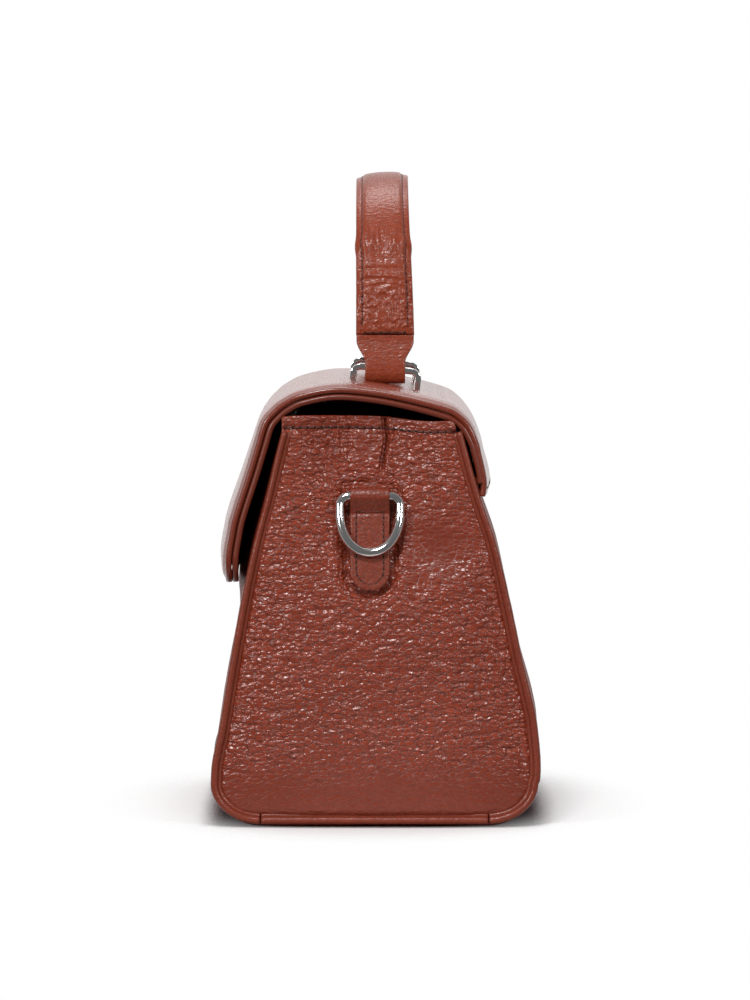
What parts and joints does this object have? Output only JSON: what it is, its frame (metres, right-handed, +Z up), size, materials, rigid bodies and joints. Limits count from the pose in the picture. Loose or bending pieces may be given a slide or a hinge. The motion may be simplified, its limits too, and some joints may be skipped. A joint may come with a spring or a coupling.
{
  "type": "top-handle handbag",
  "caption": "Small satchel handbag with piped A-shaped ends, magnetic front flap, top handle on metal bridges, and strap rings in end tabs.",
  "frame": {"origin": "middle of the base on the ground, under the centre of the bag's bounding box", "axes": "+X along the bag towards its right end, +Y towards the back panel, +Z up towards the handle"},
  "size_m": [0.2622, 0.1302, 0.259],
  "materials": {
    "grained_leather": "pebbled, satin",
    "smooth_leather": "smoother, satin",
    "lining_cloth": "plain woven",
    "stiffener_board": "fibre board",
    "handle_padding": "foam",
    "polished_nickel": "polished",
    "plain_steel": "plain"
  },
  "bodies": {
    "bag_body": {"front_panel": "grained_leather", "back_panel": "grained_leather", "base_panel": "grained_leather", "gusset_right": "grained_leather", "gusset_left": "grained_leather", "front_mouth_trim": "grained_leather", "back_mouth_trim": "grained_leather", "front_board": "stiffener_board", "back_board": "stiffener_board", "base_board": "stiffener_board", "lining_body": "lining_cloth", "lining_gusset_right": "lining_cloth", "lining_gusset_left": "lining_cloth", "piping_front_right": "smooth_leather", "piping_front_left": "smooth_leather", "piping_back_right": "smooth_leather", "piping_back_left": "smooth_leather", "piping_base_right": "smooth_leather", "piping_base_left": "smooth_leather", "front_magnet": "plain_steel", "flap_seam_strip": "grained_leather", "ring_tab_right": "smooth_leather", "ring_tab_left": "smooth_leather"},
    "flap": {"flap_outer": "grained_leather", "flap_board": "stiffener_board", "flap_lining": "smooth_leather", "flap_magnet": "plain_steel", "bridge_right": "polished_nickel", "bridge_left": "polished_nickel", "bridge_plate_right": "plain_steel", "bridge_plate_left": "plain_steel", "bridge_screw_front_right": "plain_steel", "bridge_screw_front_left": "plain_steel", "bridge_screw_back_right": "plain_steel", "bridge_screw_back_left": "plain_steel"},
    "handle_loops": {"handle_loop_right": "grained_leather", "handle_loop_left": "grained_leather"},
    "handle": {"handle_outer": "grained_leather", "handle_lining": "grained_leather", "handle_core": "handle_padding"},
    "ring_right": {"d_ring_right": "polished_nickel"},
    "ring_left": {"d_ring_left": "polished_nickel"}
  },
  "joints": [
    {"name": "flap_open", "type": "hinge", "parent": "bag_body", "child": "flap", "pos_m": [0, 0.047, 0.1307], "axis": [-1, 0, 0], "range_deg": [0, 120]},
    {"name": "handle_lift", "type": "slide", "parent": "flap", "child": "handle_loops", "axis": [0, 0, 1], "range_m": [0, 0.0024]},
    {"name": "handle_tilt", "type": "hinge", "parent": "handle_loops", "child": "handle", "pos_m": [0, 0.0043, 0.1865], "axis": [1, 0, 0], "range_deg": [-35, 35], "deforming": ["handle_loop_right", "handle_loop_left"]},
    {"name": "ring_swing_right", "type": "hinge", "parent": "bag_body", "child": "ring_right", "pos_m": [0.1244, -0.0018, 0.1312], "axis": [0, -1, 0], "range_deg": [0, 170]},
    {"name": "ring_swing_left", "type": "hinge", "parent": "bag_body", "child": "ring_left", "pos_m": [-0.1244, -0.0018, 0.1312], "axis": [0, 1, 0], "range_deg": [0, 170]}
  ]
}
